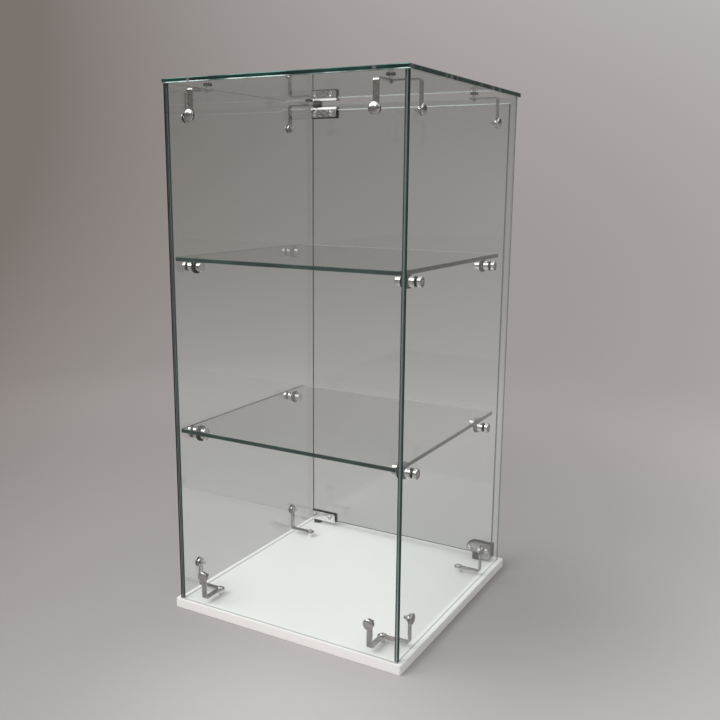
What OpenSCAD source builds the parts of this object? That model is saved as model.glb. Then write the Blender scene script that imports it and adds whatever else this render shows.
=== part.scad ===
// Counter-top glass display case: a white board carries four glass walls under a glass
// top, held at the corners by bent metal arms; two glass shelves stand on bolt-on
// supports, and a glass door at the back turns on two pivot clamps and locks at its foot.
// Millimetres; origin at the middle of the board's underside; the front looks along -Y.

/* [Board] */
// width of the board across the front
board_w = 400; // [380:5:430]
// depth of the board from front to back
board_d = 405; // [395:5:440]
// thickness of the board
board_t = 15; // [14:1:22]
// radius of the board's upright corners
board_corner_r = 3; // [1:0.5:6]
// softening of the board's top and bottom edges
board_edge = 0.8; // [0.4:0.2:1.4]
// board left showing outside each side wall
side_reveal = 7.5; // [6:0.5:10]
// board left showing in front of the front wall
front_reveal = 3; // [2.5:0.5:6]
// board left showing behind the side walls
rear_reveal = 9; // [8.5:0.5:14]

/* [Glass] */
// thickness of every sheet of glass
glass_t = 6; // [5.5:0.1:6.4]
// height of the glass walls
wall_h = 785; // [600:5:900]
// ground bevel along the sheets' upright edges
arris = 0.8; // [0.4:0.1:1.2]
// gap between the front wall and the side walls' edges
front_joint = 0.5; // [0.3:0.1:1]
// top sheet past the side walls on each side
top_side_lip = 3; // [1:0.5:5]
// top sheet past the front wall
top_front_lip = 1; // [0:0.5:2]
// radius of the top sheet's corners
top_corner_r = 3; // [1:0.5:6]

/* [Shelves] */
// height of the lower shelf's underside above the board
lower_shelf_z = 273; // [200:1:300]
// height of the upper shelf's underside above the lower one's
shelf_spacing = 261.5; // [200:0.5:280]
// gap between a shelf and the left wall
shelf_left_gap = 1.2; // [0.8:0.1:3]
// gap between a shelf and the right wall
shelf_right_gap = 4.5; // [1:0.1:6]
// gap between a shelf and the front wall
shelf_front_gap = 3; // [1:0.5:8]
// gap between a shelf and the door
shelf_rear_gap = 28; // [20:1:50]

/* [Shelf supports] */
// front supports behind the front wall's inner face
support_front_y = 36; // [30:1:45]
// rear supports in front of the side walls' rear edges
support_rear_y = 87; // [82:1:110]
// diameter of the metal spool
spool_d = 14.8; // [13:0.1:16]
// length of each barrel of the spool
barrel_l = 8.5; // [7:0.5:11]
// diameter of the rubber ring
ring_d = 20; // [18:0.5:22]
// width of the rubber ring
ring_w = 6; // [4:0.5:8]
// diameter of the neck under the ring
neck_d = 11; // [9:0.5:12]
// thickness of the washers on both faces of the glass
support_washer_t = 1; // [0.5:0.1:1.5]
// diameter of those washers
support_washer_d = 13.8; // [12:0.1:14.8]
// diameter of the cap outside the wall
support_cap_d = 15.2; // [13:0.1:17]
// length of the cap outside the wall
support_cap_l = 5; // [4:0.5:6]

/* [Corner arms] */
// width of the arms' strip
arm_w = 8.5; // [7:0.5:10]
// diameter of the arms' round ends
arm_eye_d = 14; // [13:0.5:15]
// thickness of the arms' strip
arm_t = 2; // [1.5:0.1:2.5]
// distance from the wall's inner face to the foot's hole
arm_reach = 39.5; // [34:0.5:46]
// distance from the foot's outer face to the wall hole
arm_rise = 38.3; // [34:0.1:44]
// inside radius of the arm's bend
arm_bend_r = 2; // [1:0.5:4]
// rear arms' bolts in front of the side walls' rear edges
rear_arm_y = 79.5; // [66:0.5:81]
// spacer that lifts the lower arms off the board
base_spacer_h = 8; // [6:0.5:12]
// spacer that holds the upper arms off the top sheet
top_spacer_h = 6.5; // [5:0.5:10]

/* [Bolts and screws] */
// diameter of the flat bolt heads outside the glass
disc_d = 16.8; // [15:0.1:18]
// height of the flat bolt heads
disc_h = 2.9; // [2:0.1:4]
// diameter of the bolts' shanks
bolt_d = 5; // [4.5:0.1:5.5]
// clear drilling in the glass round each shank
glass_hole_gap = 0.8; // [0.5:0.1:1.2]
// width of the nuts across the flats
nut_af = 8; // [7.5:0.5:9]
// height of the nuts
nut_h = 4; // [3:0.5:5]
// shank showing past each nut
bolt_end = 4.5; // [3:0.5:6]
// diameter of the screw heads on the feet and clamps
screw_head_d = 9; // [8:0.5:10]
// height of those screw heads
screw_head_h = 2.8; // [2:0.1:3.5]
// shank diameter of the screws in the clamps
clamp_screw_d = 4; // [3:0.5:5]
// diameter of the spacers under the lower feet
spacer_d = 9; // [8:0.5:11]
// depth of the foot screws in the board
base_screw_depth = 11; // [8:1:12]
// diameter of the bolts that hang the upper arms
top_bolt_d = 3; // [3:0.1:4]
// diameter of those bolts' flat heads and washers
top_head_d = 12.5; // [11:0.5:14]
// height of those heads
top_head_h = 2.5; // [1.5:0.5:3]
// thickness of the washers under the top sheet
top_washer_t = 1.5; // [1:0.1:2]
// diameter of the spacers over the upper feet
top_spacer_d = 5; // [5:0.1:6.5]
// width of the upper feet's nuts across the flats
top_nut_af = 5.5; // [5.5:0.1:7]
// height of those nuts
top_nut_h = 2.4; // [2:0.1:3.2]
// shank showing past those nuts
top_bolt_end = 2.1; // [1:0.1:3]

/* [Door] */
// gap between the door and the board, and the door and the top sheet, at the clamps
door_gap = 5.5; // [4.5:0.5:8]
// door's outer face in front of the side walls' rear edges
door_set_in = 6.5; // [6.5:0.5:12]
// gap between the door and the left wall
door_left_gap = 3; // [2.5:0.1:5]
// gap between the door and the right wall
door_right_gap = 6.5; // [4:0.5:8]
// distance from the door's left edge to the pivot
pivot_in = 10.5; // [10:0.1:12]

/* [Hinge clamps] */
// length of the clamps along the door
clamp_w = 51.5; // [46:0.5:60]
// height of the clamps
clamp_h = 17.5; // [16:0.5:24]
// thickness of the clamps' plates
plate_t = 3; // [2.5:0.5:4]
// thickness of the rubber pads on the glass
pad_t = 1; // [0.5:0.1:1.5]
// pads past the plates on the inner edges
pad_lip = 1.5; // [0:0.5:4]
// thickness of the bridge between the plates, past the door's edge
bridge_t = 4; // [3:0.5:5]
// radius of the plates' outer corners
plate_corner_r = 3; // [1:0.5:5]
// left clamp screw from the clamps' left end
clamp_screw_in = 8.5; // [7:0.5:12]
// distance between the two clamp screws
clamp_screw_gap = 32.5; // [28:0.5:36]
// height of the clamp screws above the clamps' outer edge
clamp_screw_up = 11; // [10:0.5:12]
// diameter of the pivot pins
pin_d = 6; // [5:0.5:7]
// diameter of the pivot bushes
bush_d = 15.5; // [14:0.1:18]
// diameter of the bushes' stubs in the board and the top sheet
stub_d = 10; // [9:0.5:12]
// depth of the bushes' stubs
stub_l = 5; // [4:0.5:5.5]

/* [Lock] */
// lock's right end from the door's right edge, outward
lock_right = 1; // [0:0.5:3]
// length of the lock along the door
lock_w = 35; // [34:0.5:40]
// height of the lock
lock_h = 25.5; // [24:0.5:32]
// thickness of the inner case that the bolt slides in
lock_case_t = 9; // [9:0.5:12]
// radius of the ear that carries the left screw
lock_ear_r = 6.5; // [6:0.5:8]
// left lock screw outside the lock's left end
ear_out = 2.5; // [2:0.5:3]
// height of the lock screws above the lock's foot
ear_up = 16; // [15:0.5:17]
// right lock screw from the lock's right end
lock_screw_in = 6; // [5.5:0.5:7]
// width of the bolt
lock_bolt_w = 13; // [12:0.5:14]
// bolt's left side from the lock's left end
bolt_in = 2.5; // [2:0.5:3]
// height of the opening at the case's foot, where the bolt shows
case_cut = 10; // [9:0.5:11]
// travel of the bolt into the board
bolt_travel = 7; // [5:0.5:8]
// bolt above the board when it is drawn back
bolt_lift = 0.5; // [0.5:0.1:1.5]
// barrel's middle from the lock's left end
barrel_in = 14; // [13.5:0.5:14.5]
// barrel's middle above the lock's foot
barrel_up = 13.5; // [13:0.5:14.5]
// diameter of the key barrel
barrel_d = 16; // [14:0.5:17]
// barrel past the lock's rear plate
barrel_out = 6; // [4:0.5:7]
// diameter of the crank pin on the barrel
crank_d = 3; // [2.5:0.1:3.4]

/* [Hidden] */
$fn = 48;
fit = 0.05;          // running fit on the radius
slide = 0.3;         // clearance of sliding faces
thread_gap = 0.05;   // bolt in its nut or plate
touch = 0.05;        // air between the glass and what seats on it
past = 1;            // cutters past a face, drillings past a screw
bevel = 0.6;         // bevel on turned edges
case_w = board_w - 2 * side_reveal;
wall_x = case_w / 2;                       // side walls' outer faces
wall_in_x = wall_x - glass_t;              // side walls' inner faces
front_y = -board_d / 2 + front_reveal;     // front wall's outer face
front_in_y = front_y + glass_t;            // front wall's inner face
side_y0 = front_in_y + front_joint;        // side walls' front edges
side_y1 = board_d / 2 - rear_reveal;       // side walls' rear edges
wall_top = board_t + wall_h;
wall_z0 = board_t + touch;                 // walls' lower edges
top_z0 = wall_top + touch;                 // top sheet's underside
top_top = top_z0 + glass_t;
seat = glass_t + touch;                    // from a sheet's outer face to its inner fittings
foot_x = wall_in_x - arm_reach;            // feet's bolts and screws
foot_front_y = front_in_y + arm_reach;
foot_rear_y = side_y1 - rear_arm_y;
low_foot = board_t + base_spacer_h;        // lower arms' undersides
top_foot = wall_top - top_spacer_h;        // upper arms' top faces
low_bolt_z = low_foot + arm_rise;
top_bolt_z = top_foot - arm_rise;
ring_r = ring_d / 2;
shelf_z = [board_t + lower_shelf_z, board_t + lower_shelf_z + shelf_spacing];
support_z = [shelf_z[0] - ring_r, shelf_z[1] - ring_r];
support_y = [front_in_y + support_front_y, side_y1 - support_rear_y];
spool_l = 2 * barrel_l + ring_w;
support_stud_l = touch + seat + 2 * support_washer_t + barrel_l - past;  // stud on the cap
rest_gap = 0.02;                           // shelf over the rings' highest line
door_y1 = side_y1 - door_set_in;           // door's outer face
door_y0 = door_y1 - glass_t;
door_mid_y = (door_y0 + door_y1) / 2;
door_x0 = -wall_in_x + door_left_gap;
door_x1 = wall_in_x - door_right_gap;
clamp_z0 = board_t + door_gap;             // lower clamp's underside
clamp_z1 = wall_top - door_gap;            // upper clamp's top
door_z0 = clamp_z0 + bridge_t;
door_z1 = clamp_z1 - bridge_t;
pivot_x = door_x0 + pivot_in;
pad_y0 = door_y0 - touch - pad_t;          // pads' inner faces
pad_y1 = door_y1 + touch + pad_t;          // pads' outer faces
clamp_y0 = pad_y0 - plate_t;               // clamps' inner faces
clamp_y1 = pad_y1 + plate_t;               // clamps' outer faces
bridge_gap = 0.1;                          // door's edge off the bridges
screw_short = 0.5;                         // screws' ends short of the outer plates' faces
screw_x = [door_x0 + clamp_screw_in, door_x0 + clamp_screw_in + clamp_screw_gap];
lock_x1 = door_x1 + lock_right;
lock_x0 = lock_x1 - lock_w;
lock_mid_x = lock_x0 + barrel_in;
lock_mid_z = clamp_z0 + barrel_up;
lock_y0 = pad_y0 - lock_case_t;            // lock's inner face
case_wall = 2;                             // wall in front of the bolt
bolt_x0 = lock_x0 + bolt_in;
bolt_x1 = bolt_x0 + lock_bolt_w;
bolt_y0 = lock_y0 + case_wall + slide;
bolt_y1 = pad_y0 - slide;
bolt_z0 = board_t + bolt_lift;
crank_in = bolt_travel / 2;                // crank pin beside and above the barrel's middle
crank_swing = crank_in * sqrt(2);
crank_gap = 1;                             // case round the crank pin's swing
slot_gap = 0.25;                           // crank pin in the bolt's slot
slot_floor = 1.5;                          // bolt left in front of the crank pin
slot_roof = 3;                             // bolt left over its slot
slot_z = lock_mid_z + crank_in;
bolt_top = slot_z + crank_d / 2 + slot_roof;
barrel_gap = 1;                            // glass and pads round the barrel
boss_wall = 2.5;                           // boss round the barrel
boss_short = 1.5;                          // boss short of the barrel's end
key_slot = [1.2, 4, 8];                    // width, depth and height of the key slot
ear_x = lock_x0 - ear_out;
ear_z = clamp_z0 + ear_up;
lock_screw_x = lock_x1 - lock_screw_in;
dome = [[1, 0.35], [0.88, 0.7], [0.64, 1]];  // screw heads' edge, in parts of radius and height
socket = [1.4, 1.2];                       // radius and depth of the screw heads' sockets
nut_rim = [0.52, 0.62, 0.07];              // nuts' end face, rim and bevel, in parts of the flats
ring_gap = 0.1;                            // ring off the spool's cheeks
ring_edge = 1;                             // rounding of the ring

// upright-cornered sheet between two corners, from height z0 to z1
module rounded_sheet(x0, x1, y0, y1, z0, z1, r)
    translate([x0, y0, z0])
        linear_extrude(z1 - z0)
            union() {
                translate([r, 0]) square([x1 - x0 - 2 * r, y1 - y0]);
                translate([0, r]) square([x1 - x0, y1 - y0 - 2 * r]);
                for (x = [r, x1 - x0 - r], y = [r, y1 - y0 - r]) translate([x, y]) circle(r);
            }

// sheet of glass standing up, its four upright edges ground to a bevel
module standing_sheet(x0, x1, y0, y1, z0, z1)
    translate([x0, y0, z0])
        linear_extrude(z1 - z0)
            polygon([[arris, 0], [x1 - x0 - arris, 0], [x1 - x0, arris],
                     [x1 - x0, y1 - y0 - arris], [x1 - x0 - arris, y1 - y0],
                     [arris, y1 - y0], [0, y1 - y0 - arris], [0, arris]]);

// turned piece along +Z from a half profile of [radius, height] points
module turned(points) rotate_extrude($fn = 96) polygon(points);

// cylinder along X, from x0 to x1
module along_x(x0, x1, y, z, d)
    translate([x0, y, z]) rotate([0, 90, 0]) cylinder(d = d, h = x1 - x0);

// cylinder along Y, from y0 to y1
module along_y(x, y0, y1, z, d)
    translate([x, y1, z]) rotate([90, 0, 0]) cylinder(d = d, h = y1 - y0);

// front-to-back places of a side wall's supports and bolts
module at_supports()
    for (z = support_z, y = support_y) translate([0, y, z]) children();

// ---- board

module board_screw_holes()
    for (x = [-foot_x, foot_x], y = [foot_front_y, foot_rear_y])
        translate([x, y, board_t - base_screw_depth - past])
            cylinder(d = clamp_screw_d + 2 * thread_gap, h = base_screw_depth + 2 * past);

module base_board()
    color("white")
        difference() {
            union() {
                rounded_sheet(-board_w / 2, board_w / 2, -board_d / 2, board_d / 2,
                              board_edge, board_t - board_edge, board_corner_r);
                rounded_sheet(-board_w / 2 + board_edge, board_w / 2 - board_edge,
                              -board_d / 2 + board_edge, board_d / 2 - board_edge,
                              0, board_t, board_corner_r);
            }
            board_screw_holes();
            translate([pivot_x, door_mid_y, board_t - stub_l])
                cylinder(d = stub_d + 2 * touch, h = stub_l + past);
            translate([bolt_x0 - slide, bolt_y0 - slide, board_t - bolt_travel - past])
                cube([lock_bolt_w + 2 * slide, bolt_y1 - bolt_y0 + 2 * slide,
                      bolt_travel + 2 * past]);
        }

// ---- glass

module front_panel()
    color("lightcyan", 0.5)
        difference() {
            standing_sheet(-wall_x, wall_x, front_y, front_in_y, wall_z0, wall_top);
            for (x = [-foot_x, foot_x], z = [low_bolt_z, top_bolt_z])
                along_y(x, front_y - past, front_in_y + past, z, bolt_d + 2 * glass_hole_gap);
        }

// cutter through a sheet whose outer face lies on z = 0
module glass_hole()
    translate([0, 0, -past]) cylinder(d = bolt_d + 2 * glass_hole_gap, h = glass_t + 2 * past);

// side wall with its outer face on the side s (-1 left, 1 right)
module side_panel(s)
    difference() {
        standing_sheet(s > 0 ? wall_in_x : -wall_x, s > 0 ? wall_x : -wall_in_x,
                       side_y0, side_y1, wall_z0, wall_top);
        for (y = [foot_front_y, foot_rear_y], z = [low_bolt_z, top_bolt_z])
            translate([s * wall_x, y, z]) rotate([0, s * -90, 0]) glass_hole();
        at_supports() translate([s * wall_x, 0, 0]) rotate([0, s * -90, 0]) glass_hole();
    }

module left_panel() color("lightcyan", 0.5) side_panel(-1);

module right_panel() color("lightcyan", 0.5) side_panel(1);

module top_panel()
    color("lightcyan", 0.5)
        difference() {
            rounded_sheet(-wall_x - top_side_lip, wall_x + top_side_lip,
                          front_y - top_front_lip, board_d / 2, top_z0, top_top, top_corner_r);
            for (x = [-foot_x, foot_x], y = [foot_front_y, foot_rear_y])
                translate([x, y, wall_top - past])
                    cylinder(d = top_bolt_d + 2 * glass_hole_gap, h = glass_t + 2 * past);
            translate([pivot_x, door_mid_y, wall_top - past])
                cylinder(d = stub_d + 2 * touch, h = glass_t + 2 * past);
        }

module shelf(z)
    color("lightcyan", 0.5)
        rounded_sheet(-wall_in_x + shelf_left_gap, wall_in_x - shelf_right_gap,
                      front_in_y + shelf_front_gap, door_y0 - shelf_rear_gap,
                      z + rest_gap, z + glass_t, arris);

module lower_shelf() shelf(shelf_z[0]);

module upper_shelf() shelf(shelf_z[1]);

// ---- corner arms

// one leg of an arm, without its hole: strip out from the foot at the origin, bend, and flange
// on the wall at x = arm_reach with its round end
module arm_leg() {
    outer_r = arm_bend_r + arm_t;
    face = arm_reach - touch;
    translate([0, -arm_w / 2, 0]) cube([face - outer_r, arm_w, arm_t]);
    translate([face - outer_r, arm_w / 2, outer_r])
        rotate([90, 0, 0])
            linear_extrude(arm_w)
                intersection() {
                    difference() {
                        circle(outer_r);
                        circle(arm_bend_r);
                    }
                    translate([0, -outer_r]) square(outer_r);
                }
    translate([face - arm_t, -arm_w / 2, outer_r]) cube([arm_t, arm_w, arm_rise - outer_r]);
    along_x(face - arm_t, face, 0, arm_rise, arm_eye_d);
}

// an arm at a corner: s left or right, y its foot, legs turned by the angles; up = 1 on the
// board and -1 under the top sheet; d is the screw through its foot
module arm(s, y, angles, up, d)
    color("silver")
        translate([s * foot_x, y, up > 0 ? low_foot : top_foot])
            mirror([0, 0, up > 0 ? 0 : 1])
                difference() {
                    union() {
                        cylinder(d = arm_eye_d, h = arm_t);
                        for (a = angles) rotate([0, 0, a]) arm_leg();
                    }
                    translate([0, 0, -past]) cylinder(d = d + 4 * fit, h = arm_t + 2 * past);
                    for (a = angles)
                        rotate([0, 0, a])
                            along_x(arm_reach - arm_t - past, arm_reach, 0, arm_rise,
                                    bolt_d + 4 * fit);
                }

module low_fl_arm() arm(-1, foot_front_y, [-90, 180], 1, clamp_screw_d);
module low_fr_arm() arm(1, foot_front_y, [-90, 0], 1, clamp_screw_d);
module low_rl_arm() arm(-1, foot_rear_y, [180], 1, clamp_screw_d);
module low_rr_arm() arm(1, foot_rear_y, [0], 1, clamp_screw_d);
module top_fl_arm() arm(-1, foot_front_y, [-90, 180], -1, top_bolt_d);
module top_fr_arm() arm(1, foot_front_y, [-90, 0], -1, top_bolt_d);
module top_rl_arm() arm(-1, foot_rear_y, [180], -1, top_bolt_d);
module top_rr_arm() arm(1, foot_rear_y, [0], -1, top_bolt_d);

// children placed at the twelve wall bolts, +Z pointing into the case from the outer face
module at_wall_bolts()
    for (s = [-1, 1], z = [low_bolt_z, top_bolt_z]) {
        translate([s * foot_x, front_y, z]) rotate([-90, 0, 0]) children();
        for (y = [foot_front_y, foot_rear_y])
            translate([s * wall_x, y, z]) rotate([0, s * -90, 0]) children();
    }

// flat-headed bolt of diameter d, its head's underside on z = -touch and its end on z = len
module disc_bolt(d, len, head_d, head_h)
    turned([[0, -touch - head_h], [head_d / 2 - bevel, -touch - head_h],
            [head_d / 2, -touch - head_h + bevel], [head_d / 2, -touch], [d / 2, -touch],
            [d / 2, len - bevel], [d / 2 - bevel, len], [0, len]]);

// nut on a bolt of diameter d, from z upwards
module nut(d, af, h, z)
    translate([0, 0, z])
        difference() {
            intersection() {
                cylinder(d = af / cos(30), h = h, $fn = 6);
                turned([[0, 0], [nut_rim[0] * af, 0], [nut_rim[1] * af, nut_rim[2] * af],
                        [nut_rim[1] * af, h - nut_rim[2] * af], [nut_rim[0] * af, h], [0, h]]);
            }
            translate([0, 0, -past]) cylinder(d = d + 2 * thread_gap, h = h + 2 * past);
        }

module wall_bolts()
    color("silver")
        at_wall_bolts() disc_bolt(bolt_d, seat + arm_t + nut_h + bolt_end, disc_d, disc_h);

module wall_nuts() color("silver") at_wall_bolts() nut(bolt_d, nut_af, nut_h, seat + arm_t);

// children placed at the four feet under the top sheet, +Z pointing down from its upper face
module at_top_feet()
    for (x = [-foot_x, foot_x], y = [foot_front_y, foot_rear_y])
        translate([x, y, top_top]) rotate([180, 0, 0]) children();

module top_bolts()
    color("silver")
        at_top_feet()
            disc_bolt(top_bolt_d, seat + top_spacer_h + arm_t + top_nut_h + top_bolt_end,
                      top_head_d, top_head_h);

// collar between two diameters and two heights
module collar(d_in, d, z0, z1)
    translate([0, 0, z0])
        difference() {
            cylinder(d = d, h = z1 - z0);
            translate([0, 0, -past]) cylinder(d = d_in + 4 * fit, h = z1 - z0 + 2 * past);
        }

module top_washers()
    color("dimgray") at_top_feet() collar(top_bolt_d, top_head_d, seat, seat + top_washer_t);

module top_spacers()
    color("silver")
        at_top_feet() collar(top_bolt_d, top_spacer_d, seat + top_washer_t, seat + top_spacer_h);

module top_nuts()
    color("silver") at_top_feet() nut(top_bolt_d, top_nut_af, top_nut_h, seat + top_spacer_h + arm_t);

// domed screw head on z = 0 with its shank down to -len
module dome_screw(len, d)
    turned(concat([[0, -len], [d / 2 - bevel, -len], [d / 2, -len + bevel], [d / 2, 0],
                   [screw_head_d / 2, 0]],
                  [for (p = dome) [p[0] * screw_head_d / 2, p[1] * screw_head_h]],
                  [[socket[0], screw_head_h], [socket[0], screw_head_h - socket[1]],
                   [0, screw_head_h - socket[1]]]));

module base_spacers()
    color("silver")
        for (x = [-foot_x, foot_x], y = [foot_front_y, foot_rear_y])
            translate([x, y, board_t]) collar(clamp_screw_d, spacer_d, 0, base_spacer_h);

module base_screws()
    color("silver")
        for (x = [-foot_x, foot_x], y = [foot_front_y, foot_rear_y])
            translate([x, y, low_foot + arm_t])
                dome_screw(base_spacer_h + arm_t + base_screw_depth, clamp_screw_d);

// ---- shelf supports

// children placed at the eight supports, +Z pointing into the case from the wall's outer face
module at_all_supports()
    for (s = [-1, 1])
        at_supports()
            translate([s * wall_x, 0, 0]) rotate([0, s * -90, 0]) children();

// spool against the inner washer, tapped at the glass end, with a neck for its ring
module support_spools()
    color("silver")
        at_all_supports()
            translate([0, 0, seat + support_washer_t])
                difference() {
                    turned([[0, 0], [spool_d / 2, 0], [spool_d / 2, barrel_l], [neck_d / 2, barrel_l],
                            [neck_d / 2, barrel_l + ring_w], [spool_d / 2, barrel_l + ring_w],
                            [spool_d / 2, spool_l - bevel], [spool_d / 2 - bevel, spool_l],
                            [0, spool_l]]);
                    translate([0, 0, -past])
                        cylinder(d = bolt_d + 2 * thread_gap, h = barrel_l + past);
                }

module support_rings()
    color("black")
        at_all_supports()
            translate([0, 0, seat + support_washer_t + barrel_l])
                turned([[neck_d / 2 + thread_gap, ring_gap], [ring_r - ring_edge, ring_gap],
                        [ring_r, ring_gap + ring_edge], [ring_r, ring_w - ring_gap - ring_edge],
                        [ring_r - ring_edge, ring_w - ring_gap],
                        [neck_d / 2 + thread_gap, ring_w - ring_gap]]);

module support_washers()
    color("black")
        at_all_supports()
            for (z = [-touch - support_washer_t, seat])
                collar(bolt_d, support_washer_d, z, z + support_washer_t);

module support_caps()
    color("silver")
        at_all_supports()
            translate([0, 0, -touch - support_washer_t])
                turned([[0, -support_cap_l], [support_cap_d / 2 - bevel, -support_cap_l],
                        [support_cap_d / 2, bevel - support_cap_l], [support_cap_d / 2, 0],
                        [bolt_d / 2, 0], [bolt_d / 2, support_stud_l - bevel],
                        [bolt_d / 2 - bevel, support_stud_l], [0, support_stud_l]]);

// ---- door

module door_panel()
    color("lightcyan", 0.5)
        difference() {
            standing_sheet(door_x0, door_x1, door_y0, door_y1, door_z0, door_z1);
            for (x = screw_x, z = [clamp_z0 + clamp_screw_up, clamp_z1 - clamp_screw_up])
                along_y(x, door_y0 - past, door_y1 + past, z, clamp_screw_d + 2 * glass_hole_gap);
            for (x = [ear_x, lock_screw_x])
                along_y(x, door_y0 - past, door_y1 + past, ear_z, clamp_screw_d + 2 * glass_hole_gap);
            along_y(lock_mid_x, door_y0 - past, door_y1 + past, lock_mid_z,
                    barrel_d + 2 * barrel_gap);
            translate([lock_mid_x - barrel_d / 2 - barrel_gap, door_y0 - past, door_z0 - past])
                cube([barrel_d + 2 * barrel_gap, glass_t + 2 * past, lock_mid_z - door_z0 + past]);
        }

// plate outline along the door with its outer edge at z = 0, grown by g inwards and at the end
module plate_face(w, h, g)
    union() {
        square([w + g - plate_corner_r, h + g]);
        square([w + g, h + g - plate_corner_r]);
        translate([w + g - plate_corner_r, h + g - plate_corner_r]) circle(plate_corner_r);
    }

// children placed at a hinge clamp: z up from its outer edge, x from its left end
module at_clamp(up)
    translate([door_x0, 0, up > 0 ? clamp_z0 : clamp_z1])
        mirror([0, 0, up > 0 ? 0 : 1])
            children();

module clamp_sheet(y0, y1, g)
    translate([0, y1, 0]) rotate([90, 0, 0]) linear_extrude(y1 - y0) plate_face(clamp_w, clamp_h, g);

module clamp_holes(d)
    for (x = [clamp_screw_in, clamp_screw_in + clamp_screw_gap])
        along_y(x, clamp_y0 - past, clamp_y1 + past, clamp_screw_up, d);

// outer plate and the bridge that runs under the door's edge
module hinge_body(up)
    color("silver")
        at_clamp(up)
            difference() {
                union() {
                    clamp_sheet(clamp_y1 - plate_t, clamp_y1, 0);
                    translate([0, pad_y0, 0])
                        cube([clamp_w, pad_y1 + past - pad_y0, bridge_t - bridge_gap]);
                }
                clamp_holes(clamp_screw_d + 2 * thread_gap);
                translate([pivot_in, door_mid_y, -past]) cylinder(d = pin_d, h = bridge_t + 2 * past);
            }

module hinge_plate(up)
    color("silver")
        at_clamp(up)
            difference() {
                clamp_sheet(clamp_y0, clamp_y0 + plate_t, 0);
                clamp_holes(clamp_screw_d + 2 * slide);
            }

// two rubber pads, one on each face of the glass
module hinge_pads(up)
    color("black")
        at_clamp(up)
            difference() {
                union() {
                    for (y = [pad_y0, pad_y1 - pad_t]) clamp_sheet(y, y + pad_t, pad_lip);
                }
                clamp_holes(clamp_screw_d + 2 * slide);
                translate([-past, clamp_y0, -past])
                    cube([clamp_w + pad_lip + 2 * past, clamp_y1 - clamp_y0, bridge_t + past]);
            }

module hinge_screws(up)
    color("silver")
        at_clamp(up)
            for (x = [clamp_screw_in, clamp_screw_in + clamp_screw_gap])
                translate([x, clamp_y0, clamp_screw_up])
                    rotate([90, 0, 0])
                        dome_screw(clamp_y1 - clamp_y0 - screw_short, clamp_screw_d);

// pin pressed into the bridge, standing out into the bush
module hinge_pin(up)
    color("silver")
        at_clamp(up)
            translate([pivot_in, door_mid_y, slide - door_gap])
                turned([[0, 0], [pin_d / 2 - bevel, 0], [pin_d / 2, bevel],
                        [pin_d / 2, door_gap - slide + bridge_t - bridge_gap],
                        [0, door_gap - slide + bridge_t - bridge_gap]]);

// flanged bush with its stub sunk in the board or the top sheet
module hinge_bush(up)
    color("black")
        at_clamp(up)
            translate([pivot_in, door_mid_y, -door_gap])
                difference() {
                    union() {
                        cylinder(d = bush_d, h = door_gap - slide);
                        translate([0, 0, -stub_l]) cylinder(d = stub_d, h = stub_l + past);
                    }
                    cylinder(d = pin_d + 2 * fit, h = door_gap + past);
                }

module lower_hinge_body() hinge_body(1);
module lower_hinge_plate() hinge_plate(1);
module lower_hinge_pads() hinge_pads(1);
module lower_hinge_screws() hinge_screws(1);
module lower_hinge_pin() hinge_pin(1);
module lower_bush() hinge_bush(1);
module upper_hinge_body() hinge_body(-1);
module upper_hinge_plate() hinge_plate(-1);
module upper_hinge_pads() hinge_pads(-1);
module upper_hinge_screws() hinge_screws(-1);
module upper_hinge_pin() hinge_pin(-1);
module upper_bush() hinge_bush(-1);

// ---- lock

// lock outline with its ear, grown by g at the top and the sides
module lock_face(g)
    union() {
        translate([lock_x0 - g, clamp_z0]) square([lock_w + 2 * g, lock_h + g]);
        translate([ear_x, ear_z]) circle(lock_ear_r + g);
    }

module lock_sheet(y0, y1, g)
    translate([0, y1, 0]) rotate([90, 0, 0]) linear_extrude(y1 - y0) lock_face(g);

module lock_screw_holes(d)
    for (x = [ear_x, lock_screw_x]) along_y(x, lock_y0 - past, clamp_y1 + past, ear_z, d);

// case on the inner face: the bolt's channel, open in front of its foot
module lock_case()
    color("silver")
        difference() {
            lock_sheet(lock_y0, pad_y0, 0);
            lock_screw_holes(clamp_screw_d + 2 * slide);
            translate([bolt_x0 - slide, bolt_y0 - slide, clamp_z0 - past])
                cube([lock_bolt_w + 2 * slide, lock_case_t, bolt_top + slide - clamp_z0 + past]);
            translate([ear_x - lock_ear_r - past, lock_y0 - past, clamp_z0 - past])
                cube([bolt_x1 + slide - ear_x + lock_ear_r + past, lock_case_t + 2 * past,
                      case_cut + past]);
            along_y(lock_mid_x, bolt_y1 - past, pad_y0 + past, lock_mid_z,
                    2 * (crank_swing + crank_gap) + crank_d);
        }

// outer plate, boss and the bridge that runs under the door's edge
module lock_body()
    color("silver")
        difference() {
            union() {
                lock_sheet(clamp_y1 - plate_t, clamp_y1, 0);
                along_y(lock_mid_x, clamp_y1 - past, clamp_y1 + barrel_out - boss_short, lock_mid_z,
                        barrel_d + 2 * boss_wall);
                translate([bolt_x1 + slide, pad_y0, clamp_z0])
                    cube([lock_x1 - bolt_x1 - slide, pad_y1 + past - pad_y0,
                          bridge_t - bridge_gap]);
            }
            lock_screw_holes(clamp_screw_d + 2 * thread_gap);
            along_y(lock_mid_x, door_y0, clamp_y1 + barrel_out + past, lock_mid_z,
                    barrel_d + 2 * fit);
        }

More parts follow.
